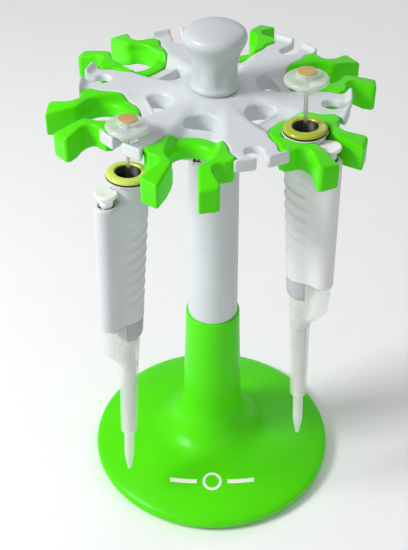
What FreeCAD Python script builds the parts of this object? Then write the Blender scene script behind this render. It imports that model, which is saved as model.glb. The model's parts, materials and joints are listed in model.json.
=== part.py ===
import FreeCAD, Part
import math
import os

# Carousel stand with six snap-in holders and two adjustable pipettes.
# Millimetres. +Z up, origin on the table under the column's axis.
# Spokes point to 0, 60, 120 ... degrees and holders to 30, 90, 150 ... degrees.

V = FreeCAD.Vector

# ---------------------------------------------------------------- driving sizes
SPOKES = 6
BASE_R = 87.0            # green foot, outside radius
SEAM_Z = 133.0           # where the grey column leaves the green sleeve
SLEEVE_R = 18.6          # green sleeve at the seam
SLEEVE_LOW_R = 20.6      # green sleeve where it starts to flare
COLUMN_TOP_Z = 283.0
COLUMN_TOP_R = 15.4
COLUMN_LOW_R = 16.9
SPIGOT_R = 14.8          # column's lower end, inside the sleeve
WHEEL_R = 80.0           # spoke ends
WHEEL_TOP_Z = 301.0
WHEEL_LOW_Z = 296.0
COLLAR_LOW_Z = 290.0     # walls that hang down round the finger holes
LIP_Z = 304.2            # turned-up edge of the spoke ends
HUB_CROWN = 2.6          # the wheel's top rises this much towards the knob
KNOB_LOW_Z = WHEEL_TOP_Z + HUB_CROWN
KNOB_TOP_Z = 343.0

HOLDER_MOUTH_U = 66.8    # distance of the holder's mouth from the column's axis
HOLDER_MOUTH_R = 12.3
HOLDER_SEAT_R = 13.6     # counterbore that the pipette's flange rests in
HOLDER_SEAT_Z = 295.8
HOLDER_BACK_R = 20.6     # outside of the holder's ring
HOLDER_TOP_Z = 302.0
HOLDER_BACK_Z = 297.3    # saddle of the ring, lower than the two arms
HOLDER_LOW_Z = 288.0     # underside of the ring
HORN_LOW_Z = 283.0
HORN_END = (99.1, 11.0)  # plan corner of a horn beside the gap
HORN_TIP = (93.6, 22.7)  # its outer plan corner
OPENING_HALF = 7.2       # half the gap between the two horns, before it flares
FLARE_U = 82.0           # where the gap starts to flare
SEAM_GAP = 0.2           # moulding gap between holder and wheel

POCKET_U = 68.5          # keyhole at the end of each spoke
POCKET_V = -1.0
POCKET_R = 5.0
SLOT_LOW_V = -3.5
SLOT_HIGH_V = 3.0
ROD_R = 1.2              # plunger rod
HUB_R = 5.6              # hub under the thumb button, wider than the keyhole's pocket
HUB_DROP = 20.6          # from the hub's underside down to the dial ring

PIPETTE_LENGTH = 239.0   # dial ring to nozzle end
RIGHT_AZIMUTH = 330.0
RIGHT_RING_Z = 304.5
RIGHT_LEAN = 2.8
LEFT_AZIMUTH = 240.0
LEFT_LEAN = 3.3
LEFT_ROD_V = -0.7
LEFT_ROD_U = 71.1        # where the rod stands in the keyhole's slot
NOZZLE_R = 2.7           # straight land that a disposable tip is pushed on


# ---------------------------------------------------------------- small helpers
def cyl(r, z0, z1, x=0.0, y=0.0):
    return Part.makeCylinder(r, z1 - z0, V(x, y, z0))


def tube(r_out, r_in, z0, z1):
    return cyl(r_out, z0, z1).cut(cyl(r_in, z0 - 1, z1 + 1))


def box(x0, x1, y0, y1, z0, z1):
    return Part.makeBox(x1 - x0, y1 - y0, z1 - z0, V(x0, y0, z0))


def revolve(points):
    """Solid of revolution about Z from (radius, z) points; 3-tuples are arc through-points."""
    edges = []
    start = points[0]
    index = 1
    while index < len(points):
        if len(points[index]) == 3:
            mid = points[index]
            end = points[index + 1]
            edges.append(Part.Arc(V(start[0], 0, start[1]), V(mid[0], 0, mid[1]),
                                  V(end[0], 0, end[1])).toShape())
            index += 2
        else:
            end = points[index]
            edges.append(Part.makeLine(V(start[0], 0, start[1]), V(end[0], 0, end[1])))
            index += 1
        start = end
    first = points[0]
    edges.append(Part.makeLine(V(start[0], 0, start[1]), V(first[0], 0, first[1])))
    face = Part.Face(Part.Wire(edges))
    return face.revolve(V(0, 0, 0), V(0, 0, 1), 360)


def prism(points, z0, z1):
    """Upright prism from a closed plan outline; 3-tuples are arc through-points."""
    edges = []
    start = points[0]
    index = 1
    while index < len(points):
        if len(points[index]) == 3:
            mid = points[index]
            end = points[index + 1]
            edges.append(Part.Arc(V(start[0], start[1], z0), V(mid[0], mid[1], z0),
                                  V(end[0], end[1], z0)).toShape())
            index += 2
        else:
            end = points[index]
            edges.append(Part.makeLine(V(start[0], start[1], z0), V(end[0], end[1], z0)))
            index += 1
        start = end
    first = points[0]
    if math.hypot(start[0] - first[0], start[1] - first[1]) > 1e-6:
        edges.append(Part.makeLine(V(start[0], start[1], z0), V(first[0], first[1], z0)))
    return Part.Face(Part.Wire(edges)).extrude(V(0, 0, z1 - z0))


def turned(shape, degrees):
    copy = shape.copy()
    copy.rotate(V(0, 0, 0), V(0, 0, 1), degrees)
    return copy


def slanted_cone(r0, x0, z0, r1, x1, z1):
    """Cone between two level circles whose centres may differ along X."""
    low = Part.Wire(Part.makeCircle(r0, V(x0, 0, z0)))
    high = Part.Wire(Part.makeCircle(r1, V(x1, 0, z1)))
    return Part.makeLoft([low, high], True, True)


def stadium(x_end, half_width, z):
    """Level outline: flat at X = 0, round at X = x_end."""
    centre = x_end - half_width
    edges = [
        Part.makeLine(V(0, -half_width, z), V(centre, -half_width, z)),
        Part.Arc(V(centre, -half_width, z), V(x_end, 0, z), V(centre, half_width, z)).toShape(),
        Part.makeLine(V(centre, half_width, z), V(0, half_width, z)),
        Part.makeLine(V(0, half_width, z), V(0, -half_width, z)),
    ]
    return Part.Wire(edges)


def coil(radius, wire_r, z0, z1, turns):
    """Compression spring about Z between two heights, of eight-sided wire."""
    height = z1 - z0 - 2 * wire_r
    path = Part.makeHelix(height / turns, height, radius)
    path.translate(V(0, 0, z0 + wire_r))
    corners = [V(radius + wire_r * math.cos(math.radians(22.5 + 45 * k)), 0,
                 z0 + wire_r + wire_r * math.sin(math.radians(22.5 + 45 * k))) for k in range(8)]
    section = Part.makePolygon(corners + [corners[0]])
    return Part.Wire(path).makePipeShell([section], True, True)


# ---------------------------------------------------------------- foot and column
def base_shell():
    """Green foot: low dome that flows into the sleeve round the column."""
    outer = revolve([
        (SPIGOT_R + 0.05, SEAM_Z), (SLEEVE_R, SEAM_Z), (SLEEVE_LOW_R, 56),
        (27.0, 30.2, 0), (47, 20.8), (68, 16.4, 0), (83.0, 11.0),
        (86.2, 9.0, 0), (BASE_R, 6.2), (86.0, 3.0, 0), (83.4, 1.8),
        (80.4, 1.8), (80.4, 7.4), (66, 12.4, 0), (44, 16.8),
        (24.0, 23.4, 0), (SPIGOT_R + 0.05, 40),
    ])
    return outer


def base_cover():
    plate = cyl(80.2, 2.2, 4.4)
    plate = plate.cut(cyl(5.0, 2, 5))
    for k in range(4):
        a = math.radians(45 + 90 * k)
        plate = plate.cut(cyl(1.7, 2, 5, 72 * math.cos(a), 72 * math.sin(a)))
    return plate


def ballast():
    """Iron weight that keeps the loaded carousel upright."""
    weight = revolve([
        (4.4, 5.0), (66, 5.0), (66, 9.5), (44, 15.0), (14.2, 15.0),
        (14.2, 34.0), (4.4, 34.0),
    ])
    return weight


def foot_places():
    return [(62 * math.cos(math.radians(90 * k)), 62 * math.sin(math.radians(90 * k)))
            for k in range(4)]


def rubber_feet():
    pads = [cyl(7.5, 0, 2.15, x, y) for x, y in foot_places()]
    return Part.makeCompound(pads)


def screw_bosses():
    """Four bosses under the dome that take the cover's screws."""
    bosses = []
    for k in range(4):
        a = math.radians(45 + 90 * k)
        boss = cyl(4.0, 4.5, 12.5, 72 * math.cos(a), 72 * math.sin(a))
        bosses.append(boss.cut(cyl(1.3, 4, 10, 72 * math.cos(a), 72 * math.sin(a))))
    return bosses


def cover_screws():
    screws = []
    for k in range(4):
        a = math.radians(45 + 90 * k)
        x = 72 * math.cos(a)
        y = 72 * math.sin(a)
        screws.append(cyl(3.0, 0.9, 2.15, x, y).fuse(cyl(1.25, 2.1, 9.5, x, y)))
    return Part.makeCompound(screws)


def column():
    """Grey hollow column, thinner towards the top."""
    return revolve([
        (12.4, 36), (SPIGOT_R, 36), (SPIGOT_R, SEAM_Z + 0.3), (COLUMN_LOW_R, SEAM_Z + 0.3),
        (COLUMN_TOP_R, COLUMN_TOP_Z - 1.2), (COLUMN_TOP_R - 1.2, COLUMN_TOP_Z), (12.4, COLUMN_TOP_Z),
    ])


def tie_rod():
    return cyl(4.0, 6.5, 272)


def tie_nut():
    nut = Part.Face(Part.makePolygon([
        V(7.5 * math.cos(math.radians(60 * k)), 7.5 * math.sin(math.radians(60 * k)), 34.4)
        for k in range(7)])).extrude(V(0, 0, 6))
    return nut.cut(cyl(4.05, 30, 45)).fuse(tube(11.5, 4.05, 34.1, 35.2))


def spindle():
    """Plug in the column's top with the post that the wheel turns on."""
    body = revolve([
        (0, 272.2), (4.0, 272.2), (4.05, 262), (12.3, 262), (12.3, COLUMN_TOP_Z + 0.05),
        (13.8, COLUMN_TOP_Z + 0.05), (13.8, COLUMN_TOP_Z + 1.0), (6.0, COLUMN_TOP_Z + 1.0),
        (6.0, 298.0), (0, 298.0),
    ])
    return body.cut(cyl(2.05, 284, 299))


def thrust_washer():
    return tube(13.2, 6.15, COLUMN_TOP_Z + 1.05, COLUMN_TOP_Z + 2.2)


def bushing():
    return tube(7.9, 6.05, COLUMN_TOP_Z + 2.4, 297.7)


def retaining_washer():
    return tube(9.0, 2.2, 298.05, 299.2)


def retaining_screw():
    head = cyl(4.2, 299.25, 302.4).cut(box(-5, 5, -0.6, 0.6, 301.2, 303))
    return head.fuse(cyl(1.95, 285, 299.4))


# ---------------------------------------------------------------- carousel wheel
def holder_side(gap):
    """Plan points of the holder's flank, from the ring to the shoulder, grown by gap."""
    return [(52.6, 15.1 + gap), (60.0, 17.8 + gap), (64.3, 21.4 + gap), (68.3, 25.1 + gap)]


def mirrored(points):
    return [(u, -v) for u, v in reversed(points)]


def recess_prism():
    """Space that the wheel leaves free for one holder, along +X."""
    back = (HOLDER_MOUTH_U - HOLDER_BACK_R - SEAM_GAP, 0, 0)
    half = holder_side(SEAM_GAP) + [(72.6, 24.9 + SEAM_GAP), (76.3, 24.5), (100, 40)]
    other = mirrored(half)
    return prism([other[-1], back] + half + other[:-1], 250, 330)


def trough(radius):
    """Shallow gutter from the hub down to a holder, along +X."""
    start = V(14, 0, 303 + 14)
    end = V(52, 0, 295.2 + 14)
    direction = end.sub(start)
    return Part.makeCylinder(radius, direction.Length, start, direction)


def finger_hole(grow, z0, z1):
    """Rounded three-cornered prism along +X, its sides moved out by grow."""
    corner = 0.7 * grow
    outline = [(38.4 + grow, -7.6), (38.4 + grow, 7.6), (37.6 + corner, 8.9 + corner, 0), (36.0, 9.4 + grow),
               (33.0, 9.2 + grow), (26.6 - grow, 0, 0), (33.0, -9.2 - grow), (36.0, -9.4 - grow),
               (37.6 + corner, -8.9 - corner, 0), (38.4 + grow, -7.6)]
    return prism(outline, z0, z1)


def spoke_end():
    """Turned-up lip of one spoke end, along +X."""
    edge = revolve([
        (75.2, WHEEL_TOP_Z - 0.3), (78.2, WHEEL_TOP_Z + 0.8, 0), (78.9, LIP_Z), (WHEEL_R, LIP_Z),
        (WHEEL_R, WHEEL_LOW_Z), (77.2, WHEEL_LOW_Z), (75.2, WHEEL_LOW_Z + 1.5),
    ])
    half = math.radians(12.3)
    wedge = prism([(0, 0), (120 * math.cos(half), -120 * math.sin(half)),
                   (120 * math.cos(half), 120 * math.sin(half))], 280, 320)
    return edge.common(wedge)


def keyhole():
    pocket = cyl(POCKET_R, 280, 320, POCKET_U, POCKET_V)
    return pocket.fuse(box(POCKET_U, WHEEL_R + 5, SLOT_LOW_V, SLOT_HIGH_V, 280, 320))


def wheel():
    """Six-armed carousel plate with a hub, gutters, finger holes and keyholes."""
    body = cyl(WHEEL_R, WHEEL_LOW_Z, WHEEL_TOP_Z)
    body = body.fuse(revolve([(0, 285.5), (17.0, 285.5), (22, 290), (24, 297), (0, 297)]))
    gutters = None
    for k in range(SPOKES):
        angle = 30 + 60 * k
        skin = trough(17.5).common(box(12, 47, -20, 20, 280, WHEEL_TOP_Z))
        body = body.fuse(turned(skin, angle))
        cutter = turned(trough(14.0), angle)
        gutters = cutter if gutters is None else gutters.fuse(cutter)
    body = body.cut(gutters)
    crown = revolve([(0, WHEEL_TOP_Z - 7.5), (20.5, WHEEL_TOP_Z - 7.5), (20.5, WHEEL_TOP_Z + 0.6),
                     (17.5, WHEEL_TOP_Z + 1.5), (14.6, KNOB_LOW_Z), (0, KNOB_LOW_Z)])
    body = body.fuse(crown)
    for k in range(SPOKES):
        body = body.fuse(turned(spoke_end(), 60 * k))
    for k in range(SPOKES):
        angle = 30 + 60 * k
        body = body.cut(turned(recess_prism(), angle))
        body = body.fuse(turned(finger_hole(1.6, COLLAR_LOW_Z, WHEEL_LOW_Z + 0.5), angle))
        body = body.cut(turned(finger_hole(0.0, 250, 330), angle))
    for k in range(SPOKES):
        angle = 30 + 60 * k
        ledge = box(40.2, 51.4, -9, 9, 284.8, 287.9).fuse(box(38.9, 45.9, -9, 9, 284.8, 297.0))
        body = body.fuse(turned(ledge, angle))
        body = body.cut(turned(cyl(1.75, 280, 290, 49.6, 0), angle))
        body = body.cut(turned(keyhole(), 60 * k))
    body = body.cut(cyl(8.0, 280, 310))
    body = body.cut(cyl(12.05, 297.9, 310))
    return body.removeSplitter()


def knob():
    """Spool-shaped lifting knob, hollow over the spindle's screw."""
    outer = revolve([
        (0, 299.0), (11.9, 299.0), (11.9, KNOB_LOW_Z + 0.1), (13.4, KNOB_LOW_Z + 0.1),
        (14.7, 305.9, 0), (13.8, 308.3), (13.2, 311.5, 0), (13.4, 318),
        (14.4, 326, 0), (17.2, 332.2), (18.4, 335.2, 0), (17.7, 338.0),
        (11.4, 341.7, 0), (4.0, KNOB_TOP_Z), (0, KNOB_TOP_Z),
    ])
    return outer.cut(cyl(10.2, 298, 309))


# ---------------------------------------------------------------- holders
def holder_outline():
    """Half of the holder's plan, from the ring's back round one flank to the horn's end."""
    return holder_side(0.0) + [(72.2, 24.5), (75.2, 20.6), (79.0, 15.2, 0), (84.0, 15.8),
                               HORN_TIP, HORN_END]


def upright_edges(body, u, v):
    """Upright edges of a prism that stand at a plan point and at its mirror image."""
    found = []
    for edge in body.Edges:
        bounds = edge.BoundBox
        if bounds.ZLength > 1 and abs(bounds.Center.x - u) < 0.05 and abs(abs(bounds.Center.y) - v) < 0.05:
            found.append(edge)
    return found


def holder():
    """One green snap-in holder along +X: ring open outwards between two flared horns."""
    half = holder_outline()
    other = [(point[0], -point[1]) + point[2:] for point in reversed(half)]
    gap = [(FLARE_U, OPENING_HALF), (FLARE_U, -OPENING_HALF)]
    back = (HOLDER_MOUTH_U - HOLDER_BACK_R, 0, 0)
    body = prism([other[-1], back] + half + gap + other[:-1], HORN_LOW_Z, HOLDER_TOP_Z)
    body = body.makeFillet(2.5, upright_edges(body, *HORN_TIP))
    body = body.makeFillet(1.5, upright_edges(body, *HORN_END))
    body = body.cut(cyl(HOLDER_MOUTH_R, 270, 310, HOLDER_MOUTH_U, 0))
    body = body.cut(box(HOLDER_MOUTH_U, 110, -OPENING_HALF, OPENING_HALF, 270, 310))
    body = body.cut(cyl(HOLDER_SEAT_R, HOLDER_SEAT_Z, 310, HOLDER_MOUTH_U, 0))
    saddle = Part.makePolygon([V(40, -14.4, 304), V(40, -10.6, HOLDER_BACK_Z), V(40, 10.6, HOLDER_BACK_Z),
                               V(40, 14.4, 304), V(40, -14.4, 304)])
    body = body.cut(Part.Face(saddle).extrude(V(22, 0, 0)))
    under = Part.makePolygon([V(40, -40, 270), V(40, -40, HOLDER_LOW_Z), V(75, -40, HOLDER_LOW_Z),
                              V(88, -40, HORN_LOW_Z), V(88, -40, 270), V(40, -40, 270)])
    body = body.cut(Part.Face(under).extrude(V(0, 80, 0)))
    top = Part.makePolygon([V(80, -40, HOLDER_TOP_Z + 0.01), V(100, -40, 297.5), V(100, -40, 310),
                            V(80, -40, 310), V(80, -40, HOLDER_TOP_Z + 0.01)])
    body = body.cut(Part.Face(top).extrude(V(0, 80, 0)))
    body = body.cut(cyl(1.5, 280, 294, 49.6, 0))
    return body.removeSplitter()


def holder_screws():
    screws = []
    for k in range(SPOKES):
        screw = cyl(2.9, 282.4, 284.75, 49.6, 0).fuse(cyl(1.45, 284.7, 293.0, 49.6, 0))
        screws.append(turned(screw, 30 + 60 * k))
    return Part.makeCompound(screws)


# ---------------------------------------------------------------- pipette
# Drawn upright: Z = 0 is the top of the dial ring, the nozzle points down,
# and the ejector is on +X.
EJECTOR_X = 17.0
EJECTOR_ROD_X = 12.5
LOBE_TOP = -15.0
LOBE_HALF = 6.5
LOBE_TOP_X = 24.7        # the lobe's far side at its top
LOBE_LOW_X = 22.4        # and at the shell's lower edge
SHELL_R = 11.7           # grip shell's round side at its top
SHELL_LOW_R = 9.3
SHELL_TOP_Z = -3.45
SHELL_WALL = 1.3
POCKET_LOW_Z = -21.2     # floor of the ejector's pocket in the lobe
SHELL_LOW_Z = -103.0     # level lower edge of the grip shell
SKIRT_R = 9.2            # grey lower body where it shows below the shell
SKIRT_LOW_Z = -117.4


def push_button():
    """Thumb button: wide disc, low boss on top and a hub that it hangs by."""
    return revolve([(ROD_R + 0.1, HUB_DROP), (HUB_R, HUB_DROP), (HUB_R, 25.6), (11.6, 25.8), (12.4, 26.8, 0),
                    (12.3, 28.2), (11.3, 29.2, 0), (9.0, 29.3), (5.9, 29.3), (5.7, 32.2), (ROD_R + 0.1, 32.2)])


def button_cap():
    return revolve([(0, 32.25), (5.5, 32.25), (5.3, 32.8, 0), (3.6, 33.1), (0, 33.2)])


def plunger_rod():
    rod = cyl(ROD_R, -61.7, 32.1)
    return rod.fuse(cyl(5.0, -65, -61.7))


def piston():
    return cyl(4.0, -68.0, -65.05).fuse(cyl(1.6, -150, -68.0))


def return_spring():
    return coil(5.6, 0.5, -97.3, -65.2, 8)


def blowout_spring():
    return coil(5.6, 0.75, -111.6, -98.4, 5)


def volume_ring():
    """Dial ring: thin bevelled annulus on a sleeve that turns the volume screw."""
    return revolve([(7.5, -0.4), (8.3, 0.0), (10.6, -0.2), (12.1, -0.9, 0), (12.5, -2.4),
                    (8.8, -2.4), (8.8, -20), (7.5, -20)])


def ring_gasket():
    return tube(12.6, 9.1, -3.4, -2.45)


def volume_screw():
    return tube(7.3, ROD_R + 0.2, -60, -32)


def lobe(x_top, x_low, half_width, z_top, z_low):
    return Part.makeLoft([stadium(x_low, half_width, z_low), stadium(x_top, half_width, z_top)],
                         True, True)


def housing():
    """Outer grip shell with the ejector's lobe on one side."""
    open_z = SHELL_LOW_Z - 0.5
    ceiling = POCKET_LOW_Z - 1.5
    outer = revolve([(0, SHELL_TOP_Z), (12.5, SHELL_TOP_Z), (12.9, -3.8), (12.9, -4.4), (SHELL_R, -5.3),
                     (SHELL_R, -30), (SHELL_LOW_R, SHELL_LOW_Z), (0, SHELL_LOW_Z)])
    outer = outer.fuse(lobe(LOBE_TOP_X, LOBE_LOW_X, LOBE_HALF, LOBE_TOP, SHELL_LOW_Z))
    inner = revolve([(0, -24), (SHELL_R - SHELL_WALL, -24), (SHELL_R - SHELL_WALL, -30),
                     (SHELL_LOW_R - SHELL_WALL, open_z), (0, open_z)])
    inner = inner.fuse(lobe(LOBE_TOP_X - SHELL_WALL, LOBE_LOW_X - SHELL_WALL, LOBE_HALF - SHELL_WALL,
                            ceiling, open_z))
    body = outer.cut(inner)
    body = body.cut(cyl(8.95, -30, 0))
    body = body.cut(cyl(3.35, -40, 0, EJECTOR_X, 0))
    body = body.cut(cyl(4.8, POCKET_LOW_Z, 0, EJECTOR_X, 0))
    nut = tube(SHELL_R - SHELL_WALL + 0.2, 7.35, -40, -28).common(outer)
    spring_seat = box(9.5, 20.5, -5.8, 5.8, -46.0, -44.3).common(outer).cut(cyl(1.4, -50, -40, EJECTOR_ROD_X, 0))
    return body.fuse(nut).fuse(spring_seat).removeSplitter()


def lower_body():
    """Grey lower body: core inside the shell and a rounded end that shows below it."""
    outer = revolve([(0, -97.5), (7.7, -97.5), (7.7, -102.5), (8.0, -103.1), (SKIRT_R, -103.2), (SKIRT_R - 0.2, -113.6),
                     (8.4, -116.3, 0), (6.2, SKIRT_LOW_Z), (0, SKIRT_LOW_Z)])
    body = outer.cut(cyl(6.7, -111.8, -98.2))
    body = body.cut(cyl(2.0, -100, -96))
    body = body.cut(cyl(2.0, -120, -110))
    return body.cut(cyl(4.2, -118, -115.0)).removeSplitter()


def piston_seal():
    return Part.makeTorus(2.9, 1.1, V(0, 0, -116.2))


def barrel():
    """Nozzle body: flange, long shaft inside the ejector sleeve, tip cone."""
    outer = revolve([(0, -117.45), (5.9, -117.45), (5.9, -119.4), (3.9, -119.4), (3.9, -190),
                     (3.3, -192), (3.3, -225.5), (1.2, -PIPETTE_LENGTH), (0, -PIPETTE_LENGTH)])
    return outer.cut(cyl(1.75, -166, -117)).cut(cyl(0.6, -240, -160))


def barrel_nut():
    return tube(5.9, 4.0, -123.4, -119.45)


def ejector_button():
    """Round ejector key on its stem, with the foot that carries the rod."""
    key = revolve([(0, -6.8), (6.1, -6.8), (6.7, -7.5, 0), (6.6, -8.7), (4.0, -11.0), (4.0, -14.7), (3.1, -14.7),
                   (3.1, -32), (0, -32)])
    key.translate(V(EJECTOR_X, 0, 0))
    key = key.cut(cyl(SHELL_R + 0.3, -16, 0))
    foot = box(EJECTOR_ROD_X - 1.5, EJECTOR_X - 1.0, -2.2, 2.2, -32, -28.5)
    return key.fuse(foot).cut(cyl(1.2, -34, -26, EJECTOR_ROD_X, 0))


def ejector_rod():
    return cyl(1.15, -110.0, -28.6, EJECTOR_ROD_X, 0)


def ejector_spring():
    spring = coil(2.15, 0.3, -44.2, -32.1, 7)
    spring.translate(V(17.0, 0, 0))
    return spring


def ejector_sleeve():
    """Milky tip ejector: scoop on the ejector's side that runs down into a long tube."""
    tube_body = revolve([(0, SKIRT_LOW_Z - 0.3), (7.1, SKIRT_LOW_Z - 0.3), (6.9, -128), (6.2, -142),
                         (5.5, -201.5), (0, -201.5)])
    scoop = Part.makeLoft([stadium(7.4, 4.2, -139), stadium(13.0, 5.6, -132.5)], True, True)
    scoop = scoop.fuse(Part.makeLoft([stadium(13.0, 5.6, -132.5), stadium(19.6, 6.1, -124)], True, True))
    scoop = scoop.fuse(Part.makeLoft([stadium(19.6, 6.1, -124), stadium(21.3, 6.3, -103.6)], True, True))
    body = tube_body.fuse(scoop)
    body = body.cut(cyl(SKIRT_R + 0.25, SKIRT_LOW_Z - 0.3, -100))
    body = body.cut(revolve([(0, -117), (6.3, -117), (6.3, -130), (4.3, -137), (4.3, -196), (3.7, -198),
                             (3.7, -205), (0, -205)]))
    return body.cut(cyl(1.2, -111, -100, EJECTOR_ROD_X, 0)).removeSplitter()


PIPETTE_PARTS = {
    "push_button": push_button,
    "button_cap": button_cap,
    "plunger_rod": plunger_rod,
    "piston": piston,
    "return_spring": return_spring,
    "blowout_spring": blowout_spring,
    "volume_ring": volume_ring,
    "ring_gasket": ring_gasket,
    "volume_screw": volume_screw,
    "housing": housing,
    "lower_body": lower_body,
    "piston_seal": piston_seal,
    "barrel": barrel,
    "barrel_nut": barrel_nut,
    "ejector_button": ejector_button,
    "ejector_rod": ejector_rod,
    "ejector_spring": ejector_spring,
    "ejector_sleeve": ejector_sleeve,
}


def placement(azimuth, radius, tangent, height, lean):
    """Stand a pipette at a place round the column, leaning outwards at the bottom."""
    spin = FreeCAD.Rotation(V(0, 0, 1), azimuth)
    tip_out = FreeCAD.Rotation(V(0, 1, 0), -lean)
    where = spin.multVec(V(radius, tangent, 0)).add(V(0, 0, height))
    return FreeCAD.Placement(where, spin.multiply(tip_out))


def right_place():
    """In the holder at 330 degrees: the axis meets the mouth's centre inside the ring."""
    radius = HOLDER_MOUTH_U - (RIGHT_RING_Z - 293.0) * math.tan(math.radians(RIGHT_LEAN))
    return placement(RIGHT_AZIMUTH, radius, 0, RIGHT_RING_Z, RIGHT_LEAN)


def left_place():
    """Hung by the thumb button's hub in the keyhole of the spoke at 240 degrees."""
    lean = math.radians(LEFT_LEAN)
    height = WHEEL_TOP_Z + 0.08 + HUB_R * math.sin(lean) - HUB_DROP * math.cos(lean)
    radius = LEFT_ROD_U + HUB_DROP * math.sin(lean)
    return placement(LEFT_AZIMUTH, radius, LEFT_ROD_V, height, LEFT_LEAN)


# ---------------------------------------------------------------- export
def write(name, shape):
    if shape.isNull() or not shape.isValid():
        print("check the shape of", name)
    shape.exportStep("parts/" + name + ".step")


def write_stand():
    shell = base_shell()
    for boss in screw_bosses():
        shell = shell.fuse(boss.common(revolve([(0, 0), (80, 0), (80, 8), (66, 13), (44, 18), (0, 18)])))
    write("base_shell", shell)
    write("base_cover", base_cover())
    write("ballast", ballast().cut(Part.makeCompound(
        [cyl(4.4, 4, 14, 72 * math.cos(math.radians(45 + 90 * k)), 72 * math.sin(math.radians(45 + 90 * k)))
         for k in range(4)])))
    write("rubber_feet", rubber_feet())
    write("cover_screws", cover_screws())
    write("column", column())
    write("tie_rod", tie_rod())
    write("tie_nut", tie_nut())
    write("spindle", spindle())
    write("thrust_washer", thrust_washer())
    write("bushing", bushing())
    write("retaining_washer", retaining_washer())
    write("retaining_screw", retaining_screw())


def write_carousel():
    write("wheel", wheel())
    write("knob", knob())
    one = holder()
    for k in range(SPOKES):
        write("holder_" + str(30 + 60 * k), turned(one, 30 + 60 * k))
    write("holder_screws", holder_screws())


def write_pipettes():
    places = {"right": right_place(), "left": left_place()}
    for part, maker in PIPETTE_PARTS.items():
        shape = maker()
        for side, place in places.items():
            copy = shape.copy()
            copy.Placement = place.multiply(copy.Placement)
            write(side + "_" + part, copy)


os.makedirs("parts", exist_ok=True)
write_stand()
write_carousel()
write_pipettes()
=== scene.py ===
import json
import math

import bpy
import numpy as np
from mathutils import Matrix, Vector


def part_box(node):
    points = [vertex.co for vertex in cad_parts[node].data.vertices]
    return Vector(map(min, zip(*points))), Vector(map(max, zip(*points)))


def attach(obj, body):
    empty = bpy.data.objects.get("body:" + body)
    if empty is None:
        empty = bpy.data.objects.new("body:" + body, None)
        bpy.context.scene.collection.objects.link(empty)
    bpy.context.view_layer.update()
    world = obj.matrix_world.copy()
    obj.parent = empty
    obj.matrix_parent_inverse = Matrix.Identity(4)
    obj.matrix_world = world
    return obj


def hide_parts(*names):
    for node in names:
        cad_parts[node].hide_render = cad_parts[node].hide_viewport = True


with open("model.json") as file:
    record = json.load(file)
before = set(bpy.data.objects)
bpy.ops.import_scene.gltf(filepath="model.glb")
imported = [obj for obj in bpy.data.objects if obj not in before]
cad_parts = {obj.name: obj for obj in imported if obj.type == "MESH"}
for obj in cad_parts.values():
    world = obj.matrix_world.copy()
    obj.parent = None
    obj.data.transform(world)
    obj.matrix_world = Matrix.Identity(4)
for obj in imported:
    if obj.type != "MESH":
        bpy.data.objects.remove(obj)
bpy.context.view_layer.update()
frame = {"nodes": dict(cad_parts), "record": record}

# Everything below is drawn in millimetres in the CAD frame and scaled to metres in make_mesh.
MM = 0.001
SPOKES = 6

# ---------------------------------------------------------------- places from the frame
NODES = frame["nodes"]
JOINTS = {j["name"]: j for j in frame["record"]["behaviour"]["joints"]}


def low_mm(node):
    return [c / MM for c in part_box(node)[0]]


def high_mm(node):
    return [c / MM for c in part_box(node)[1]]


WHEEL_R = 80.0
WHEEL_TOP = 301.0
WHEEL_LOW = 296.0
HORN_LOW = low_mm("holder_270")[2]
HOLDER_TOP = high_mm("holder_270")[2]
SEAM_Z = high_mm("base_shell")[2]
KNOB_TOP = high_mm("knob")[2]
MOUTH_U = 66.8
MOUTH_R = 12.3
POCKET_U = 68.5
POCKET_V = -1.0

# Levels along a pipette, from the top of its dial ring
EJECTOR_X = 17.0
SHELL_LOW = -103.0
SKIRT_LOW = -117.4
SLEEVE_SPLIT = -143.0
SLEEVE_LOW = -201.5
NOZZLE_END = -239.0


# ---------------------------------------------------------------- mesh tools
def make_mesh(name, points, faces, body, material, replaced):
    """A finished piece from millimetre points: shaded, coloured and riding on its body."""
    mesh = bpy.data.meshes.new(name)
    mesh.from_pydata((np.asarray(points, float) * MM).tolist(), [], [tuple(f) for f in faces])
    mesh.validate()
    mesh.update()
    piece = bpy.data.objects.new(name, mesh)
    bpy.context.scene.collection.objects.link(piece)
    mesh.polygons.foreach_set("use_smooth", [True] * len(mesh.polygons))
    mesh.materials.append(material)
    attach(piece, body)
    if replaced:
        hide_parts(*replaced)


def rounded(profile, steps=6):
    """Profile points (radius, z, fillet) with each corner rounded by its own fillet."""
    out = []
    count = len(profile)
    for i, (r, z, fillet) in enumerate(profile):
        here = np.array([r, z], float)
        before = np.array(profile[i - 1][:2], float) if i > 0 else None
        after = np.array(profile[i + 1][:2], float) if i + 1 < count else None
        if fillet <= 0 or before is None or after is None:
            out.append(here)
            continue
        to_before = before - here
        to_after = after - here
        len_b = np.linalg.norm(to_before)
        len_a = np.linalg.norm(to_after)
        reach = min(fillet, 0.49 * len_b, 0.49 * len_a)
        start = here + to_before / len_b * reach
        end = here + to_after / len_a * reach
        for k in range(steps + 1):
            t = k / steps
            out.append((1 - t) ** 2 * start + 2 * t * (1 - t) * here + t ** 2 * end)
    return np.array(out)


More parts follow.
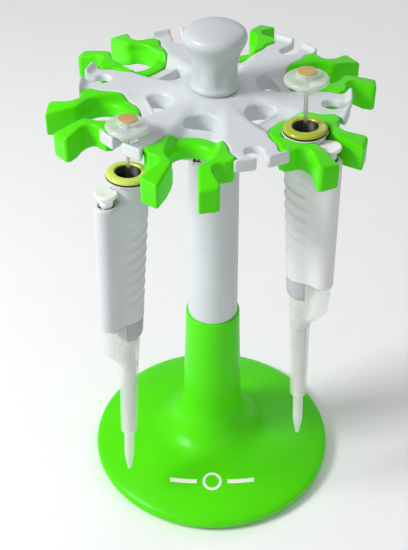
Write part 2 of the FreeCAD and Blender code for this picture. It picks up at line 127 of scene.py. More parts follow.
def lathe(outline, segments, wave=None):
    """Points and faces of a turned shape about Z. wave(radius, z, angle) may push points out."""
    rings = []
    angles = np.arange(segments) * 2 * math.pi / segments
    points = []
    faces = []
    for r, z in outline:
        if r < 1e-6:
            rings.append([len(points)])
            points.append((0.0, 0.0, z))
            continue
        rings.append(list(range(len(points), len(points) + segments)))
        radius = np.full(segments, r)
        if wave is not None:
            radius = radius + wave(r, z, angles)
        points.extend(zip(radius * np.cos(angles), radius * np.sin(angles), np.full(segments, z)))
    for a, b in zip(rings[:-1], rings[1:]):
        for k in range(segments):
            n = (k + 1) % segments
            if len(a) == 1 and len(b) == 1:
                continue
            if len(a) == 1:
                faces.append((a[0], b[n], b[k]))
            elif len(b) == 1:
                faces.append((a[k], a[n], b[0]))
            else:
                faces.append((a[k], a[n], b[n], b[k]))
    return np.array(points), faces


def closed_lathe(outline, segments):
    """Turned ring-shaped solid: the outline's last point joins its first."""
    outline = np.vstack([outline, outline[:1]])
    points, faces = lathe(outline, segments)
    last = len(points) - segments
    faces = [tuple(i - last if i >= last else i for i in f) for f in faces]
    return points[:last], faces


def smooth_max(a, b, k):
    h = np.maximum(k - np.abs(a - b), 0.0) / k
    return np.maximum(a, b) + h * h * k * 0.25


def smooth_min(a, b, k):
    return -smooth_max(-a, -b, k)


def ramp(x, low, high):
    t = np.clip((x - low) / (high - low), 0.0, 1.0)
    return t * t * (3 - 2 * t)


def polygon_distance(x, y, corners):
    """Signed distance to a closed outline, negative inside."""
    best = np.full(x.shape, 1e9)
    sign = np.ones(x.shape)
    count = len(corners)
    for i in range(count):
        ax, ay = corners[i]
        bx, by = corners[(i + 1) % count]
        ex = bx - ax
        ey = by - ay
        wx = x - ax
        wy = y - ay
        t = np.clip((wx * ex + wy * ey) / (ex * ex + ey * ey), 0, 1)
        best = np.minimum(best, (wx - t * ex) ** 2 + (wy - t * ey) ** 2)
        above = y >= ay
        below = y < by
        left = ex * wy > ey * wx
        flip = (above & below & left) | (~above & ~below & ~left)
        sign = np.where(flip, -sign, sign)
    return sign * np.sqrt(best)


def arc_points(start, through, end, steps=6):
    """Plan points along the circle through three points, ends included."""
    (ax, ay), (bx, by), (cx, cy) = start, through, end
    d = 2 * (ax * (by - cy) + bx * (cy - ay) + cx * (ay - by))
    ux = ((ax ** 2 + ay ** 2) * (by - cy) + (bx ** 2 + by ** 2) * (cy - ay)
          + (cx ** 2 + cy ** 2) * (ay - by)) / d
    uy = ((ax ** 2 + ay ** 2) * (cx - bx) + (bx ** 2 + by ** 2) * (ax - cx)
          + (cx ** 2 + cy ** 2) * (bx - ax)) / d
    radius = math.hypot(ax - ux, ay - uy)
    a0 = math.atan2(ay - uy, ax - ux)
    am = math.atan2(by - uy, bx - ux)
    a1 = math.atan2(cy - uy, cx - ux)
    turn = (a1 - a0) % (2 * math.pi)
    if (am - a0) % (2 * math.pi) > turn:
        turn -= 2 * math.pi
    return [(ux + radius * math.cos(a0 + turn * k / steps), uy + radius * math.sin(a0 + turn * k / steps))
            for k in range(steps + 1)]


def surface_net(field, low, high, cell):
    """Closed quad mesh of field(x, y, z) = 0, with its points pulled onto the surface."""
    low = np.asarray(low, float) - 1.5 * cell
    high = np.asarray(high, float) + 1.5 * cell
    size = np.ceil((high - low) / cell).astype(int) + 1
    axes = [low[i] + cell * np.arange(size[i]) for i in range(3)]
    gx, gy, gz = np.meshgrid(*axes, indexing="ij")
    value = field(gx, gy, gz)
    cells = tuple(size - 1)
    total = np.zeros(cells + (3,))
    count = np.zeros(cells)
    base = np.stack(np.meshgrid(*[np.arange(n) for n in cells], indexing="ij"), -1).astype(float)

    def part(offset):
        return value[offset[0]:offset[0] + cells[0], offset[1]:offset[1] + cells[1],
                     offset[2]:offset[2] + cells[2]]

    for axis in range(3):
        others = [a for a in range(3) if a != axis]
        for o1 in (0, 1):
            for o2 in (0, 1):
                offset = [0, 0, 0]
                offset[others[0]] = o1
                offset[others[1]] = o2
                a = part(offset)
                further = list(offset)
                further[axis] += 1
                b = part(further)
                cross = (a < 0) != (b < 0)
                t = np.where(cross, a / np.where(cross, a - b, 1.0), 0.0)
                spot = base + np.array(offset, float)
                spot[..., axis] += t
                total += np.where(cross[..., None], spot, 0.0)
                count += cross
    active = count > 0
    index = np.full(cells, -1)
    index[active] = np.arange(int(active.sum()))
    points = low + cell * (total[active] / count[active][:, None])
    faces = []
    for axis in range(3):
        u = (axis + 1) % 3
        v = (axis + 2) % 3
        span = [slice(0, size[i]) for i in range(3)]
        ahead = list(span)
        span[axis] = slice(0, size[axis] - 1)
        ahead[axis] = slice(1, size[axis])
        near = value[tuple(span)] < 0
        far = value[tuple(ahead)] < 0
        where = np.argwhere(near != far)
        inside_u = (where[:, u] > 0) & (where[:, u] < size[u] - 1)
        inside_v = (where[:, v] > 0) & (where[:, v] < size[v] - 1)
        where = where[inside_u & inside_v]
        solid_near = near[tuple(where.T)]
        corners = []
        for du, dv in ((-1, -1), (0, -1), (0, 0), (-1, 0)):
            shifted = where.copy()
            shifted[:, u] += du
            shifted[:, v] += dv
            corners.append(index[tuple(shifted.T)])
        quad = np.stack(corners, 1)
        quad[~solid_near] = quad[~solid_near][:, ::-1]
        faces.append(quad)
    faces = np.vstack(faces)
    step = cell * 0.2
    for _ in range(4):
        x, y, z = points.T
        f = field(x, y, z)
        slope = np.stack([field(x + step, y, z) - field(x - step, y, z),
                          field(x, y + step, z) - field(x, y - step, z),
                          field(x, y, z + step) - field(x, y, z - step)], 1) / (2 * step)
        length = np.maximum((slope ** 2).sum(1), 0.05)
        move = -(f / length)[:, None] * slope
        reach = np.linalg.norm(move, axis=1)
        move *= np.minimum(1.0, 0.4 * cell / np.maximum(reach, 1e-9))[:, None]
        points = points + move
    return points, faces


# ---------------------------------------------------------------- materials
def srgb(r, g, b):
    """Linear colour from 0-255 display values."""
    out = []
    for c in (r, g, b):
        c = c / 255.0
        out.append(c / 12.92 if c <= 0.04045 else ((c + 0.055) / 1.055) ** 2.4)
    return out + [1.0]


def set_socket(shader, name, value):
    if name in shader.inputs:
        shader.inputs[name].default_value = value


def moulded(name, colour, rough=0.35, spread=0.06, shade=0.10, grain=0.10, grain_size=2600.0,
            coat=0.0, alpha=1.0, metal=0.0, stretch=(1.0, 1.0, 1.0), specular=0.4):
    """Procedural surface: cloudy colour, uneven gloss and a fine moulded or turned grain."""
    mat = bpy.data.materials.new(name)
    mat.use_nodes = True
    tree = mat.node_tree
    nodes = tree.nodes
    links = tree.links
    shader = nodes["Principled BSDF"]
    place = nodes.new("ShaderNodeTexCoord")
    mapping = nodes.new("ShaderNodeMapping")
    mapping.inputs["Scale"].default_value = stretch
    links.new(place.outputs["Object"], mapping.inputs["Vector"])
    cloud = nodes.new("ShaderNodeTexNoise")
    cloud.inputs["Scale"].default_value = 38.0
    cloud.inputs["Detail"].default_value = 3.0
    links.new(mapping.outputs["Vector"], cloud.inputs["Vector"])
    ramp_node = nodes.new("ShaderNodeValToRGB")
    ramp_node.color_ramp.elements[0].position = 0.3
    ramp_node.color_ramp.elements[1].position = 0.7
    dark = [c * (1 - shade) for c in colour[:3]] + [1.0]
    lit = [min(1.0, c * (1 + 0.4 * shade)) for c in colour[:3]] + [1.0]
    ramp_node.color_ramp.elements[0].color = dark
    ramp_node.color_ramp.elements[1].color = lit
    links.new(cloud.outputs["Fac"], ramp_node.inputs["Fac"])
    links.new(ramp_node.outputs["Color"], shader.inputs["Base Color"])
    smear = nodes.new("ShaderNodeTexNoise")
    smear.inputs["Scale"].default_value = 260.0
    smear.inputs["Detail"].default_value = 4.0
    links.new(mapping.outputs["Vector"], smear.inputs["Vector"])
    gloss = nodes.new("ShaderNodeMapRange")
    gloss.inputs["From Min"].default_value = 0.25
    gloss.inputs["From Max"].default_value = 0.75
    gloss.inputs["To Min"].default_value = max(0.02, rough - spread)
    gloss.inputs["To Max"].default_value = rough + spread
    links.new(smear.outputs["Fac"], gloss.inputs["Value"])
    links.new(gloss.outputs["Result"], shader.inputs["Roughness"])
    fine = nodes.new("ShaderNodeTexNoise")
    fine.inputs["Scale"].default_value = grain_size
    fine.inputs["Detail"].default_value = 2.0
    links.new(mapping.outputs["Vector"], fine.inputs["Vector"])
    bump = nodes.new("ShaderNodeBump")
    bump.inputs["Strength"].default_value = grain
    bump.inputs["Distance"].default_value = 0.0001
    links.new(fine.outputs["Fac"], bump.inputs["Height"])
    links.new(bump.outputs["Normal"], shader.inputs["Normal"])
    set_socket(shader, "Metallic", metal)
    set_socket(shader, "Specular IOR Level", specular)
    set_socket(shader, "Coat Weight", coat)
    set_socket(shader, "Coat Roughness", 0.12)
    set_socket(shader, "Alpha", alpha)
    return mat


GREEN = moulded("green_gloss", srgb(82, 222, 4), rough=0.34, shade=0.05, grain=0.06, coat=0.04, specular=0.16)
GREY = moulded("grey_satin", srgb(206, 211, 214), rough=0.42, shade=0.04, grain=0.10)
KNOB_GREY = moulded("knob_satin", srgb(196, 202, 206), rough=0.38, shade=0.05, grain=0.10)
DARK = moulded("dark_moulded", srgb(44, 45, 48), rough=0.55, shade=0.2, grain=0.25)
IRON = moulded("painted_iron", srgb(58, 58, 60), rough=0.6, shade=0.35, grain=0.6, grain_size=700.0)
RUBBER = moulded("black_rubber", srgb(26, 26, 27), rough=0.7, shade=0.25, grain=0.35, grain_size=1500.0)
STEEL = moulded("turned_steel", srgb(196, 194, 190), rough=0.26, shade=0.08, grain=0.12, metal=1.0,
                stretch=(1.0, 1.0, 12.0))
SPRING = moulded("drawn_wire", srgb(168, 168, 170), rough=0.3, shade=0.1, grain=0.15, metal=1.0)
BRASS = moulded("turned_brass", srgb(204, 172, 96), rough=0.3, shade=0.12, grain=0.15, metal=1.0)
ACETAL = moulded("white_acetal", srgb(236, 236, 232), rough=0.45, shade=0.04, grain=0.12)
PRINT = moulded("white_print", srgb(246, 247, 240), rough=0.5, shade=0.03, grain=0.10)
# Near-black colour for the cup inside the dial ring: painted shade for the dark opening under the thumb
# button.
PAINTED_SHADE_WELL = moulded("painted_shade_black", srgb(18, 19, 20), rough=0.5, shade=0.3, grain=0.2)
TAN = moulded("tan_cap", srgb(196, 160, 96), rough=0.4, shade=0.10, grain=0.10)
MILKY = moulded("milky_button", srgb(226, 232, 224), rough=0.22, shade=0.04, grain=0.04, coat=0.2,
                alpha=0.50)
SLEEVE = moulded("milky_sleeve", srgb(238, 242, 236), rough=0.28, shade=0.03, grain=0.02, alpha=0.36)
NOZZLE = moulded("milky_nozzle", srgb(240, 244, 238), rough=0.25, shade=0.03, grain=0.02, alpha=0.55)
KEY = moulded("ejector_white", srgb(240, 240, 238), rough=0.3, shade=0.04, grain=0.08, coat=0.1)
SIDE_LOOK = {
    "right": {
        "ring": moulded("olive_ring", srgb(170, 184, 40), rough=0.24, shade=0.14, grain=0.05, coat=0.3),
        "shell": moulded("ivory_shell", srgb(222, 224, 224), rough=0.34, shade=0.03, grain=0.12),
        "body": moulded("pale_body", srgb(188, 191, 193), rough=0.38, shade=0.04, grain=0.12),
    },
    "left": {
        "ring": moulded("lime_ring", srgb(214, 226, 104), rough=0.24, shade=0.10, grain=0.05, coat=0.3),
        "shell": moulded("grey_shell", srgb(206, 210, 213), rough=0.36, shade=0.04, grain=0.12),
        "body": moulded("grey_body", srgb(172, 177, 180), rough=0.38, shade=0.04, grain=0.12),
    },
}


def dress(node, material):
    """Gives a CAD node that stays in view its finished material."""
    mesh = NODES[node].data
    mesh.materials.clear()
    mesh.materials.append(material)
    mesh.polygons.foreach_set("use_smooth", [True] * len(mesh.polygons))


# ---------------------------------------------------------------- foot, column, knob
def smooth_curve(points, steps=6):
    """Curve that passes through every profile point."""
    p = np.array([points[0]] + list(points) + [points[-1]], float)
    out = []
    for k in range(1, len(p) - 2):
        a, b, c, d = p[k - 1:k + 3]
        for step in range(steps):
            t = step / steps
            bend = 2 * a - 5 * b + 4 * c - d + t * (3 * (b - c) + d - a)
            out.append(tuple(b + 0.5 * t * (c - a + t * bend)))
    out.append(tuple(p[-1]))
    return out


def dome_height(radius):
    """Height of the foot's upper face outside the flare."""
    t = (radius - 46.0) / 37.6
    return 20.9 - 4.6 * t - 5.6 * t ** 1.9


def base_profile():
    """Outside of the green foot from the seam down, then its hollow underside."""
    flare = [(18.25, SEAM_Z - 0.05), (18.35, SEAM_Z - 0.7), (19.2, 104), (20.1, 80), (20.8, 60)]
    curve = []
    for k in range(1, 15):
        t = k / 15
        a = np.array([20.8, 60.0])
        b = np.array([21.3, 23.9])
        c = np.array([46.0, 20.9])
        curve.append(tuple((1 - t) ** 2 * a + 2 * t * (1 - t) * b + t * t * c))
    dome = []
    for k in range(0, 13):
        radius = 46.0 + k * 37.4 / 12
        dome.append((radius, dome_height(radius)))
    rim = []
    for k in range(1, 13):
        angle = math.radians(66 - k * 150 / 12)
        rim.append((83.0 + 4.0 * math.cos(angle), 6.2 + 4.4 * math.sin(angle)))
    under = [(80.4, 1.85), (80.4, 7.4), (66, 12.4), (44, 16.6), (30, 19.6), (24.0, 26.0), (15.0, 40)]
    return np.array(flare + curve + dome + rim + under)


def build_base():
    profile = base_profile()
    top = np.array([[15.0, SEAM_Z - 0.05]])
    points, faces = closed_lathe(np.vstack([top, profile]), 160)
    make_mesh("foot_and_sleeve", points, faces, "stand", GREEN, ["base_shell"])


def build_print():
    """Plain white ring between two short bars, printed on the front of the dome."""
    middle = math.radians(-78.5)
    along = np.array([-math.sin(middle), math.cos(middle)])
    outwards = np.array([math.cos(middle), math.sin(middle)])
    points = []
    faces = []

    def strip(rows):
        start = len(points)
        width = len(rows[0])
        for row in rows:
            for a, b in row:
                x, y = along * a + outwards * (57.0 + b)
                points.append((x, y, dome_height(math.hypot(x, y)) + 0.06))
        for i in range(len(rows) - 1):
            for k in range(width - 1):
                corner = start + i * width + k
                faces.append([corner, corner + 1, corner + width + 1, corner + width])

    for side in (-1, 1):
        rows = []
        for k in range(21):
            a = side * (11.0 + 19.0 * k / 20)
            rise = 2.6 * ((abs(a) - 8.0) / 22.0) ** 2
            rows.append([(a, side * (1.5 - 1.0 * n) - rise) for n in range(4)])
        strip(rows)
    rows = []
    for k in range(61):
        angle = 2 * math.pi * k / 60
        radii = [5.0 + 0.9 * n for n in range(3)]
        rows.append([(-radius * math.cos(angle), radius * math.sin(angle)) for radius in radii])
    strip(rows)
    make_mesh("dome_print", np.array(points), faces, "stand", PRINT, [])


def column_profile():
    low, high = low_mm("column")[2], high_mm("column")[2]
    return rounded([(12.4, low, 0), (14.8, low, 0.6), (14.8, SEAM_Z + 0.25, 0), (16.85, SEAM_Z + 0.25, 0.4),
                    (16.55, SEAM_Z + 34, 0), (15.4, high - 1.2, 0.8), (14.2, high, 0.4), (12.4, high, 0)])


def build_column():
    points, faces = closed_lathe(column_profile(), 128)
    make_mesh("column_tube", points, faces, "stand", GREY, ["column"])


def knob_wave(radius, z, angles):
    """Six soft finger dimples round the waist."""
    strength = math.exp(-((z - 315.0) / 7.5) ** 2) * 0.9
    return -strength * (0.5 + 0.5 * np.cos(6 * angles)) ** 1.5 if radius > 11.95 else np.zeros(len(angles))


def build_knob():
    inside = [(0.0, 309.0), (10.2, 309.0), (10.2, 299.0), (11.9, 299.0), (11.9, 303.75), (13.2, 303.75)]
    bead = [(13.7, 303.9), (14.8, 306.1), (13.8, 308.7)]
    waist = [(13.4, 312.5), (13.4, 317.0), (13.9, 321.5), (14.8, 326.0)]
    head = [(16.2, 329.6), (17.6, 332.4), (18.4, 335.2), (17.7, 337.9), (15.4, 339.9)]
    crown = [(11.4, 341.5), (6.0, 342.6), (2.0, 342.95)]
    skin = smooth_curve(bead + waist + head + crown)
    points, faces = lathe(np.array(inside + skin + [(0.0, KNOB_TOP)]), 144, knob_wave)
    make_mesh("lifting_knob", points, faces, "carousel", KNOB_GREY, ["knob"])


# ---------------------------------------------------------------- wheel
def fold(x, y, first):
    """Local (along, across) coordinates about the nearest of six rays that start at first degrees."""
    radius = np.hypot(x, y)
    angle = np.degrees(np.arctan2(y, x))
    away = (angle - first + 30.0) % 60.0 - 30.0
    away = np.radians(away)
    return radius * np.cos(away), radius * np.sin(away), radius


FLANK = [(52.6, 15.1), (60.0, 17.8), (64.3, 21.4), (68.3, 25.1)]


def recess_distance(u, v):
    """Plan distance to the space that a holder takes, across both flanks."""
    gap = 0.22
    ring = np.hypot(u - MOUTH_U, v) - (20.6 + gap)
    corners = [(56.0, -5.0)] + [(a, b + gap) for a, b in FLANK]
    corners += [(72.6, 25.1), (76.0, 24.6), (100, 41), (100, -5)]
    return np.minimum(ring, polygon_distance(u, np.abs(v), corners))


def hole_distance(u, v):
    """Rounded opening between hub and holder."""
    return smooth_max(np.hypot(u - 36.3, v) - 9.7, u - 38.4, 1.8)


def keyhole_distance(u, v):
    pocket = np.hypot(u - POCKET_U, v - POCKET_V) - 5.0
    slot = np.maximum(np.abs(v + 0.25) - 3.25, POCKET_U - u)
    return smooth_min(pocket, slot, 1.6)


def wheel_field(x, y, z):
    u, v, radius = fold(x, y, 30.0)
    us, vs, _ = fold(x, y, 0.0)
    plan = smooth_max(radius - WHEEL_R, -recess_distance(u, v), 2.2)
    plan = smooth_max(plan, -hole_distance(u, v), 1.4)
    plan = smooth_max(plan, -keyhole_distance(us, vs), 1.0)
    slope = np.clip((u - 17.0) / 29.0, 0.0, 1.25)
    width = 9.5 + 4.5 * np.clip((u - 20.0) / 26.0, 0.0, 1.0)
    gutter = 5.0 * slope * (1.0 - ramp(np.abs(v) / width, 0.45, 1.2)) * (u < 60)
    crown = 2.6 * np.clip(1 - (radius - 14.0) / 31.0, 0.0, 1.0) ** 1.4
    lip = 3.35 * ramp(radius, 74.6, 79.6) ** 1.6
    top = WHEEL_TOP + crown - gutter + lip
    low = np.minimum(WHEEL_LOW, top - 3.4)
    body = smooth_max(smooth_max(plan, z - top, 1.7), low - z, 1.4)
    hub = smooth_max(radius - np.clip(17.0 + (z - 285.5) * 0.9, 17.0, 23.0), 285.5 - z, 1.2)
    hub = np.maximum(hub, z - 300.0)
    body = smooth_min(body, hub, 2.5)
    ledge_plan = np.maximum(np.abs(v) - 9.0, np.abs(u - 45.8) - 5.6)
    ledge = np.maximum(ledge_plan, np.abs(z - 286.35) - 1.5)
    post = np.maximum(np.maximum(np.abs(v) - 9.0, np.abs(u - 42.4) - 3.4), np.abs(z - 290.6) - 5.6)
    body = smooth_min(body, np.minimum(ledge, post), 0.8)
    collar = np.maximum(hole_distance(u, v) - 1.7, np.abs(z - 293.7) - 3.7)
    body = smooth_max(smooth_min(body, collar, 0.8), -hole_distance(u, v), 0.5)
    body = np.maximum(body, -(np.hypot(u - 49.6, v) - 1.8))
    body = np.maximum(body, -(radius - 8.05))
    return np.maximum(body, -np.maximum(radius - 12.15, 297.9 - z))


def build_wheel():
    points, faces = surface_net(wheel_field, (-80, -80, 285), (80, 80, 304.6), 0.8)
    make_mesh("carousel_wheel", points, faces, "carousel", GREY, ["wheel"])


# ---------------------------------------------------------------- holders
def holder_outline():
    notch = arc_points((75.2, 20.6), (79.0, 15.2), (84.0, 15.8), 7)
    tip = arc_points((91.2, 20.9), (93.2, 21.3), (94.9, 20.0), 5)
    return [(60.0, -6.0)] + FLANK + [(72.2, 24.5)] + notch + tip + [(98.7, 11.0), (98.7, -6.0)]


HOLDER_OUTLINE = holder_outline()


def holder_field(u, v, z):
    across = np.abs(v)
    from_mouth = np.hypot(u - MOUTH_U, v)
    ring = np.maximum(from_mouth - 20.6, u - 72.0)
    plan = smooth_min(ring, polygon_distance(u, across, HOLDER_OUTLINE), 1.0)
    mouth = from_mouth - MOUTH_R - 1.1 * ramp(z, 294.3, 297.6)
    flare = 7.2 + 3.8 * np.clip((u - 82.0) / 17.1, 0, 1.2)
    opening = smooth_min(mouth, np.maximum(across - flare, MOUTH_U - u), 1.6)
    plan = smooth_max(plan, -opening, 1.2)
    saddle = 297.6 + (HOLDER_TOP - 297.6) * ramp(across, 10.2, 15.2) - 0.05 * np.clip(u - 46, 0, 10)
    saddle = saddle + (HOLDER_TOP - saddle) * ramp(u, 60.0, 67.0)
    arm = HOLDER_TOP - 4.5 * np.clip((u - 80.0) / 19.0, 0, 1) ** 1.15
    top = np.minimum(saddle, arm)
    low = 288.0 - 5.0 * np.clip((u - 75.0) / 13.0, 0, 1)
    body = smooth_max(plan, z - top, 1.9)
    body = smooth_max(body, low - z, 1.2)
    return np.maximum(body, -np.maximum(np.hypot(u - 49.6, v) - 1.55, z - 294.0))


def turned(points, degrees):
    a = math.radians(degrees)
    spin = np.array([[math.cos(a), -math.sin(a), 0], [math.sin(a), math.cos(a), 0], [0, 0, 1]])
    return points @ spin.T


def build_holders():
    points, faces = surface_net(holder_field, (46, -25.5, HORN_LOW), (99.1, 25.5, HOLDER_TOP), 0.55)
    for k in range(SPOKES):
        angle = 30 + 60 * k
        make_mesh("snap_holder_%d" % angle, turned(points, angle), faces, "carousel", GREEN,
                  ["holder_%d" % angle])


# ---------------------------------------------------------------- pipettes
def pipette_matrix(side):
    """Local pipette axes from the frame: +Z up its dial axis, +X towards its ejector."""
    dial = JOINTS[side + "_volume_dial"]
    origin = Vector(dial["pos_m"]) / MM
    up = Vector(dial["axis"]).normalized()
    rod = (Vector(low_mm(side + "_ejector_rod")) + Vector(high_mm(side + "_ejector_rod"))) / 2
    out = rod - origin
    out = (out - up * out.dot(up)).normalized()
    across = up.cross(out)
    return np.array([list(out), list(across), list(up)]), np.array(list(origin))


def placed(side, points):
    axes, origin = pipette_matrix(side)
    return np.asarray(points, float) @ axes + origin


def shell_radius(z):
    """Radius of the grip shell's round side."""
    return np.interp(-z, [5.2, 30.0, 103.0], [11.65, 11.6, 9.3])


def lobe_distance(x, y, z, end_top, end_low, half, z_top, z_low):
    end = end_low + (end_top - end_low) * (z - z_low) / (z_top - z_low) - half
    return np.hypot(x - np.clip(x, 0.0, np.maximum(end, 0.0)), y) - half


def shell_field(x, y, z):
    radius = np.hypot(x, y)
    body = radius - shell_radius(z)
    ridge = np.clip(np.cos(2 * math.pi * (z + 0.42 * x - 0.10 * np.abs(y)) / 8.0), -0.2, 1.0)
    zone = ramp(z, -92.0, -84.0) * (1 - ramp(z, -36.0, -26.0)) * (1 - ramp(x, 7.0, 10.5))
    body = body + 0.55 * (1 - ridge) * zone * ramp(np.abs(y), 1.5, 6.0)
    lobe = lobe_distance(x, y, z, 24.6, 22.3, 6.45, -15.0, -103.0)
    lobe = smooth_max(lobe, z + 15.05, 2.4)
    body = smooth_min(body, lobe, 4.0)
    body = smooth_max(body, z + 3.6, 0.6)
    flange = smooth_max(radius - 12.85, np.abs(z + 4.0) - 0.5, 0.4)
    body = smooth_min(body, flange, 0.8)
    body = smooth_max(body, SHELL_LOW - z, 0.8)
    room = np.maximum(radius - shell_radius(z) + 1.7 + 0.8 * ramp(z, -97.0, -91.0), z + 24.0)
    lobe_room = np.maximum(lobe_distance(x, y, z, 22.9, 20.6, 4.9, -15.0, -103.0), z + 22.7)
    body = smooth_max(body, -np.minimum(room, lobe_room), 0.4)
    body = np.maximum(body, -np.maximum(radius - 8.98, -30.0 - z))
    from_stem = np.hypot(x - EJECTOR_X, y)
    stem = np.maximum(from_stem - 3.35, -30 - z)
    pocket = np.maximum(from_stem - 4.75, -21.2 - z)
    travel = np.maximum(np.maximum(from_stem - 6.9, -14.85 - z), 11.75 - radius)
    body = np.maximum(body, -travel)
    return smooth_max(body, -np.minimum(stem, pocket), 0.5)


def lower_profile():
    return rounded([(2.0, -97.5, 0), (7.7, -97.5, 0.4), (7.7, -102.6, 0), (8.1, -103.15, 0),
                    (9.2, -103.25, 0.2), (9.0, -113.6, 1.5), (8.3, -116.4, 1.6), (6.2, SKIRT_LOW, 0.6),
                    (4.2, SKIRT_LOW, 0), (4.2, -115.0, 0), (2.0, -115.0, 0), (2.0, -111.8, 0),
                    (6.7, -111.8, 0), (6.7, -98.2, 0), (2.0, -98.2, 0)])


def sleeve_field(x, y, z):
    """Long tapered tube with a scoop on the ejector's side that reaches up beside the body."""
    radius = np.hypot(x, y)
    tube = radius - np.interp(-z, [117.7, 128, 142], [7.05, 6.85, 6.2])
    tube = smooth_max(tube, z + 117.75, 0.4)
    levels = [103.6, 124.0, 132.5, 139.5]
    end = np.interp(-z, levels, [21.2, 19.5, 12.8, 6.6])
    half = np.interp(-z, levels, [6.25, 6.05, 5.5, 4.6])
    scoop = np.hypot(x - np.clip(x, 0.0, end - half), y) - half
    scoop = np.maximum(scoop, -141.0 - z) * 0.85
    body = smooth_min(tube, scoop, 2.5)
    body = smooth_max(body, z + 103.7, 0.8)
    beside = np.maximum(radius - 9.45, -117.7 - z)
    body = smooth_max(body, -beside, 0.5)
    inner = np.interp(-z, [117, 130, 137], [6.3, 6.3, 4.3])
    body = np.maximum(body, -(radius - inner))
    return np.maximum(body, SLEEVE_SPLIT - z)


def sleeve_tube():
    """Lower run of the sleeve, from the scoop down to its open end."""
    return rounded([(4.35, SLEEVE_SPLIT, 0), (6.17, SLEEVE_SPLIT, 0), (5.5, SLEEVE_LOW, 0.5),
                    (3.7, SLEEVE_LOW, 0.3), (3.7, -198, 0.5), (4.3, -196, 0.5)])


def button_profile():
    return rounded([(1.3, 20.6, 0), (5.6, 20.6, 0.6), (5.6, 25.7, 0.5), (11.5, 25.8, 0.8),
                    (12.4, 26.9, 0.7), (12.3, 28.3, 0.8), (11.2, 29.2, 0.6), (9.0, 29.3, 0.5),
                    (5.9, 29.3, 0.4), (5.7, 32.2, 0.5), (1.3, 32.2, 0)])


def cap_profile():
    return rounded([(0, 32.25, 0), (5.5, 32.25, 0.15), (5.3, 32.8, 0.5), (3.6, 33.1, 0.8), (0, 33.2, 0)])


def ring_profile():
    return rounded([(7.5, -0.35, 0.2), (8.3, 0.0, 0.3), (10.6, -0.2, 0.8), (12.2, -1.0, 0.8),
                    (12.5, -2.4, 0.2), (8.8, -2.4, 0), (8.8, -20, 0), (7.5, -20, 0)])


def gasket_profile():
    return rounded([(9.1, -2.46, 0), (12.6, -2.46, 0.3), (12.6, -3.4, 0.3), (9.1, -3.4, 0)])


def well_profile():
    return rounded([(7.4, -0.9, 0.2), (7.4, -21.0, 0), (1.8, -21.0, 0), (1.8, -19.6, 0.4), (6.5, -19.0, 1.0),
                    (6.8, -0.9, 0.2)])


def key_profile():
    return rounded([(0, -32, 0), (3.1, -32, 0), (3.1, -14.7, 0.3), (4.0, -14.7, 0.3), (4.0, -11.0, 0.6),
                    (6.5, -8.8, 0.6), (6.7, -7.6, 0.4), (6.0, -6.85, 0.5), (3.0, -7.0, 1.0), (0, -7.1, 0)])


def barrel_profile():
    return rounded([(0, SKIRT_LOW - 0.05, 0), (5.9, SKIRT_LOW - 0.05, 0.2), (5.9, -119.4, 0.2),
                    (3.9, -119.4, 0.2), (3.9, -190, 0.3), (3.3, -192, 0.5), (3.3, -225.5, 2.0),
                    (1.2, NOZZLE_END, 0.3), (0, NOZZLE_END, 0)])


def build_pipette(side):
    look = SIDE_LOOK[side]
    pipette = side + "_pipette"
    plunger = side + "_plunger"
    dial = side + "_dial"
    ejector = side + "_ejector"

    def turned_piece(name, outline, body, material, replaced, ring=True, x=0.0):
        maker = closed_lathe if ring else lathe
        points, faces = maker(outline, 72)
        points = points + np.array([x, 0, 0])
        if x:
            reach = np.hypot(points[:, 0], points[:, 1])
            beside = (points[:, 2] > -16) & (reach < 12.0)
            points[beside, :2] *= (12.0 / reach[beside])[:, None]
        make_mesh(side + "_" + name, placed(side, points), faces, body, material, replaced)

    turned_piece("thumb_button", button_profile(), plunger, MILKY, [side + "_push_button"])
    turned_piece("thumb_cap", cap_profile(), plunger, TAN, [side + "_button_cap"], ring=False)
    turned_piece("dial_ring", ring_profile(), dial, look["ring"], [side + "_volume_ring"])
    # Cup lining the dial ring's bore, coloured near black as painted shade.
    turned_piece("dial_painted_shade_well", well_profile(), dial, PAINTED_SHADE_WELL, [])
    turned_piece("dial_gasket", gasket_profile(), pipette, RUBBER, [side + "_ring_gasket"])
    turned_piece("eject_key", key_profile(), ejector, KEY, [side + "_ejector_button"],
                 ring=False, x=EJECTOR_X)
    turned_piece("nozzle", barrel_profile(), pipette, NOZZLE, [side + "_barrel"],
                 ring=False)
    turned_piece("lower_half", lower_profile(), pipette, look["body"], [side + "_lower_body"])
    points, faces = surface_net(shell_field, (-13.2, -13.2, -103.2), (24.8, 13.2, -3.3), 0.62)
    make_mesh(side + "_grip_shell", placed(side, points), faces, pipette, look["shell"],
              [side + "_housing"])
    points, faces = surface_net(sleeve_field, (-7.6, -7.6, -143.2), (21.6, 7.6, -103.4), 0.42)
    tube_points, tube_faces = closed_lathe(sleeve_tube(), 72)
    both = np.vstack([points, tube_points])
    both_faces = [list(f) for f in faces] + [[int(k) + len(points) for k in f] for f in tube_faces]
    make_mesh(side + "_eject_sleeve", placed(side, both), both_faces, ejector, SLEEVE,
              [side + "_ejector_sleeve"])


# ---------------------------------------------------------------- CAD nodes that stay
INNER = {
    "base_cover": DARK, "ballast": IRON, "rubber_feet": RUBBER, "cover_screws": STEEL, "tie_rod": STEEL,
    "tie_nut": STEEL, "spindle": STEEL, "thrust_washer": ACETAL, "bushing": BRASS,
    "retaining_washer": STEEL, "retaining_screw": STEEL, "holder_screws": STEEL,
}
INNER_PIPETTE = {
    "plunger_rod": STEEL, "piston": STEEL, "return_spring": SPRING, "blowout_spring": SPRING,
    "volume_screw": BRASS, "piston_seal": RUBBER, "barrel_nut": ACETAL, "ejector_rod": STEEL,
    "ejector_spring": SPRING,
}


def dress_nodes():
    for node, material in INNER.items():
        dress(node, material)
    for side in ("right", "left"):
        for node, material in INNER_PIPETTE.items():
            dress(side + "_" + node, material)


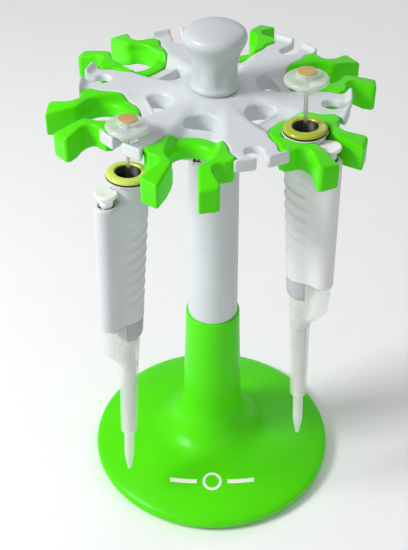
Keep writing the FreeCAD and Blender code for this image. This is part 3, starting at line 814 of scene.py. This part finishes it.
# ---------------------------------------------------------------- studio
def build_floor():
    size = 4.0
    mesh = bpy.data.meshes.new("floor")
    corners = [(-size, -size, 0), (size, -size, 0), (size, size, 0), (-size, size, 0)]
    mesh.from_pydata(corners, [], [(0, 1, 2, 3)])
    floor = bpy.data.objects.new("floor", mesh)
    bpy.context.scene.collection.objects.link(floor)
    mesh.materials.append(moulded("pale_floor", srgb(246, 246, 247), rough=0.7, shade=0.01, grain=0.0))


def area_light(name, place, target, size, watts, colour=(1, 1, 1)):
    light = bpy.data.lights.new(name, "AREA")
    light.shape = "DISK"
    light.size = size
    light.energy = watts
    light.color = colour
    lamp = bpy.data.objects.new(name, light)
    lamp.location = place
    lamp.rotation_euler = (Vector(target) - Vector(place)).to_track_quat("-Z", "Y").to_euler()
    bpy.context.scene.collection.objects.link(lamp)


def build_studio():
    world = bpy.data.worlds.new("studio")
    bpy.context.scene.world = world
    world.use_nodes = True
    back = world.node_tree.nodes["Background"]
    back.inputs["Color"].default_value = (1.0, 1.0, 1.0, 1.0)
    back.inputs["Strength"].default_value = 0.42
    area_light("key", (-0.95, -0.55, 1.05), (0, 0, 0.15), 0.5, 17.5)
    area_light("fill", (0.9, -0.9, 0.7), (0, 0, 0.2), 0.9, 1.2)
    area_light("rim", (0.3, 1.0, 0.9), (0, 0, 0.2), 0.6, 1.5)


CAMERA_AZIMUTH = 10.95
CAMERA_HEIGHT = 39.869
CAMERA_ROLL = 0.487
CAMERA_DISTANCE = 0.7071
CAMERA_TARGET = (0.0, 0.0, 0.15)
FOCAL = 1045.95 / 550 * 36.0
SHIFT_X = -0.0163
SHIFT_Y = 0.0261


def build_camera():
    azimuth = math.radians(CAMERA_AZIMUTH)
    height = math.radians(CAMERA_HEIGHT)
    level = math.cos(height)
    away = Vector((math.sin(azimuth) * level, -math.cos(azimuth) * level, math.sin(height)))
    target = Vector(CAMERA_TARGET)
    place = target + away * CAMERA_DISTANCE
    look = (target - place).normalized()
    right = look.cross(Vector((0, 0, 1))).normalized()
    up = right.cross(look)
    roll = math.radians(CAMERA_ROLL)
    right, up = (math.cos(roll) * right + math.sin(roll) * up, -math.sin(roll) * right + math.cos(roll) * up)
    data = bpy.data.cameras.new("camera")
    data.lens = FOCAL
    data.sensor_width = 36.0
    data.sensor_fit = "AUTO"
    data.shift_x = SHIFT_X
    data.shift_y = SHIFT_Y
    data.clip_start = 0.01
    data.clip_end = 20.0
    camera = bpy.data.objects.new("camera", data)
    turn = Matrix((right, up, -look)).transposed()
    camera.matrix_world = Matrix.Translation(place) @ turn.to_4x4()
    bpy.context.scene.collection.objects.link(camera)
    bpy.context.scene.camera = camera


bpy.context.scene.view_settings.view_transform = "Standard"
build_camera()
build_studio()
build_floor()
build_base()
build_print()
build_column()
build_knob()
build_wheel()
build_holders()
for pipette_side in ("right", "left"):
    build_pipette(pipette_side)
dress_nodes()
